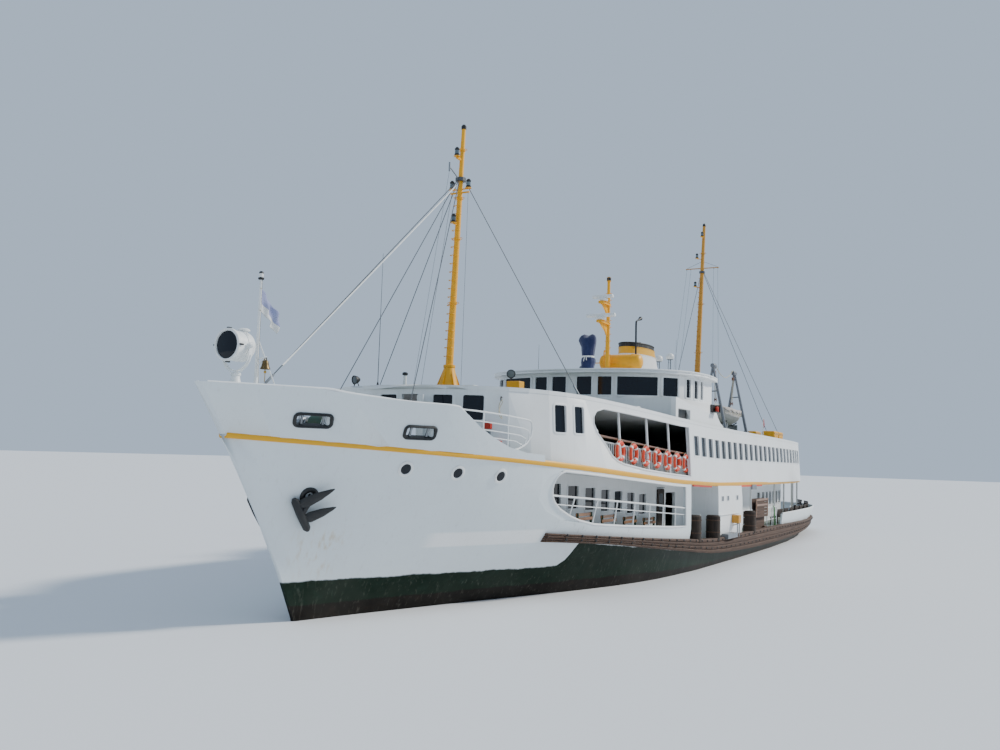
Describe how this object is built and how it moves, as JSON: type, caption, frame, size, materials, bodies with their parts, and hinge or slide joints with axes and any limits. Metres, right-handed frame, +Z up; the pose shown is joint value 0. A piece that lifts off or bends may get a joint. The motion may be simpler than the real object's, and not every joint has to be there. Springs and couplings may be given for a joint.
{
  "type": "passenger ferry, 1:2 scale model",
  "caption": "Twin-screw passenger ferry with open side galleries, a rounded wheelhouse, raked masts, boats in davits and a raked bow, as a half-size floating model.",
  "frame": {"origin": "on the centreline amidships, at the waterline: z = 0 is the water's surface", "axes": "+X forward to the bow, +Y to port, +Z up"},
  "size_m": [29.0534, 5.457, 10.7501],
  "materials": {
    "hull_paint": "white gloss over green boot-top and black bottom, weathered",
    "house_paint": "white gloss, lightly streaked",
    "deck_paint": "matt deck paint",
    "rail_paint": "white gloss",
    "yellow_paint": "yellow gloss",
    "mast_paint": "weathered ochre",
    "bottom_paint": "matt black",
    "machinery_paint": "green, worn",
    "davit_paint": "grey, worn",
    "wire": "galvanised wire",
    "bronze": "cast bronze",
    "timber": "tarred and scuffed",
    "boat_shell": "weathered off-white with a reddish cover",
    "scanner_shell": "satin white",
    "canvas": "navy canvas",
    "flag_cloth": "plain bunting"
  },
  "bodies": {
    "hull": {"hull": "hull_paint", "bow_bulwark": "hull_paint", "main_deckhouse": "house_paint", "upper_deck": "deck_paint", "forward_house": "house_paint", "saloon_walls": "house_paint", "boat_deck": "deck_paint", "aft_rail": "rail_paint", "wheelhouse_walls": "house_paint", "wheelhouse_roof": "house_paint", "engine_casing": "house_paint", "funnel": "house_paint", "radar_mast": "yellow_paint", "air_tank": "yellow_paint", "covered_compass": "canvas", "foremast": "yellow_paint", "mainmast": "mast_paint", "fore_stays": "wire", "main_stays": "wire", "windlass": "machinery_paint", "searchlight_base": "rail_paint", "jackstaff": "rail_paint", "bow_flag": "flag_cloth", "strake_port": "timber", "strake_starboard": "timber", "side_casing_port": "house_paint", "side_casing_starboard": "house_paint", "gallery_rail_port": "rail_paint", "gallery_rail_starboard": "rail_paint", "upper_rail_port": "rail_paint", "upper_rail_starboard": "rail_paint", "bow_rail_port": "rail_paint", "bow_rail_starboard": "rail_paint", "boat_chocks_port": "machinery_paint", "boat_chocks_starboard": "machinery_paint", "anchor_port": "bottom_paint", "anchor_starboard": "bottom_paint", "shaft_bracket_port": "bottom_paint", "shaft_bracket_starboard": "bottom_paint"},
    "rudder": {"rudder": "bottom_paint"},
    "screw_port": {"propeller_port": "bronze"},
    "screw_starboard": {"propeller_starboard": "bronze"},
    "scanner_upper": {"radar_scanner_upper": "scanner_shell"},
    "scanner_lower": {"radar_scanner_lower": "scanner_shell"},
    "lamp_yoke": {"searchlight_yoke": "rail_paint"},
    "lamp_drum": {"searchlight_drum": "rail_paint"},
    "davits_port": {"davit_fore_port": "davit_paint", "davit_aft_port": "davit_paint"},
    "davits_starboard": {"davit_fore_starboard": "davit_paint", "davit_aft_starboard": "davit_paint"},
    "boat_port": {"lifeboat_port": "boat_shell"},
    "boat_starboard": {"lifeboat_starboard": "boat_shell"},
    "gangway_port": {"gangway_port": "timber"},
    "gangway_starboard": {"gangway_starboard": "timber"},
    "gate_port": {"boarding_gate_port": "rail_paint"},
    "gate_starboard": {"boarding_gate_starboard": "rail_paint"},
    "bridge_door_port": {"wheelhouse_door_port": "house_paint"},
    "bridge_door_starboard": {"wheelhouse_door_starboard": "house_paint"},
    "saloon_door": {"saloon_door": "house_paint"}
  },
  "joints": [
    {"name": "rudder_turn", "type": "hinge", "parent": "hull", "child": "rudder", "pos_m": [-12.5, 0, -0.9], "axis": [0, 0, 1], "range_deg": [-35, 35]},
    {"name": "screw_port_spin", "type": "hinge", "parent": "hull", "child": "screw_port", "pos_m": [-10.95, 1, -0.925], "axis": [1, 0, 0], "continuous": true},
    {"name": "screw_starboard_spin", "type": "hinge", "parent": "hull", "child": "screw_starboard", "pos_m": [-10.95, -1, -0.925], "axis": [1, 0, 0], "continuous": true},
    {"name": "scanner_upper_spin", "type": "hinge", "parent": "hull", "child": "scanner_upper", "pos_m": [2.35, 0, 5.85], "axis": [0, 0, 1], "continuous": true},
    {"name": "scanner_lower_spin", "type": "hinge", "parent": "hull", "child": "scanner_lower", "pos_m": [2.45, 0, 5.4], "axis": [0, 0, 1], "continuous": true},
    {"name": "lamp_swivel", "type": "hinge", "parent": "hull", "child": "lamp_yoke", "pos_m": [13.95, 0, 3.05], "axis": [0, 0, 1], "range_deg": [-170, 170]},
    {"name": "lamp_tilt", "type": "hinge", "parent": "lamp_yoke", "child": "lamp_drum", "pos_m": [13.95, 0, 3.39], "axis": [0, -1, 0], "range_deg": [-25, 50]},
    {"name": "davits_port_luff", "type": "hinge", "parent": "hull", "child": "davits_port", "pos_m": [-1.7, 2.075, 3.03], "axis": [-1, 0, 0], "range_deg": [0, 70]},
    {"name": "davits_starboard_luff", "type": "hinge", "parent": "hull", "child": "davits_starboard", "pos_m": [-1.7, -2.075, 3.03], "axis": [1, 0, 0], "range_deg": [0, 70]},
    {"name": "boat_port_level", "type": "hinge", "parent": "davits_port", "child": "boat_port", "pos_m": [-1.7, 1.75, 4.6], "axis": [-1, 0, 0], "range_deg": [-70, 0]},
    {"name": "boat_starboard_level", "type": "hinge", "parent": "davits_starboard", "child": "boat_starboard", "pos_m": [-1.7, -1.75, 4.6], "axis": [1, 0, 0], "range_deg": [-70, 0]},
    {"name": "gangway_port_lower", "type": "hinge", "parent": "hull", "child": "gangway_port", "pos_m": [-2.65, 2.47913, 0.58208], "axis": [-1, 0, 0], "range_deg": [0, 90]},
    {"name": "gangway_starboard_lower", "type": "hinge", "parent": "hull", "child": "gangway_starboard", "pos_m": [-2.65, -2.47913, 0.58208], "axis": [1, 0, 0], "range_deg": [0, 90]},
    {"name": "gate_port_swing", "type": "hinge", "parent": "hull", "child": "gate_port", "pos_m": [3.075, 2.34203, 0.8], "axis": [0, 0, 1], "range_deg": [0, 90]},
    {"name": "gate_starboard_swing", "type": "hinge", "parent": "hull", "child": "gate_starboard", "pos_m": [3.075, -2.34203, 0.8], "axis": [0, 0, -1], "range_deg": [0, 90]},
    {"name": "bridge_door_port_swing", "type": "hinge", "parent": "hull", "child": "bridge_door_port", "pos_m": [1.53, 1.225, 3.5], "axis": [0, 0, -1], "range_deg": [0, 100]},
    {"name": "bridge_door_starboard_swing", "type": "hinge", "parent": "hull", "child": "bridge_door_starboard", "pos_m": [1.53, -1.225, 3.5], "axis": [0, 0, 1], "range_deg": [0, 100]},
    {"name": "saloon_door_swing", "type": "hinge", "parent": "hull", "child": "saloon_door", "pos_m": [-10.17, 0.25, 2.3], "axis": [0, 0, -1], "range_deg": [0, 100]}
  ],
  "couplings": [
    {"joint": "boat_port_level", "follows": "davits_port_luff", "ratio": -1},
    {"joint": "boat_starboard_level", "follows": "davits_starboard_luff", "ratio": -1}
  ]
}
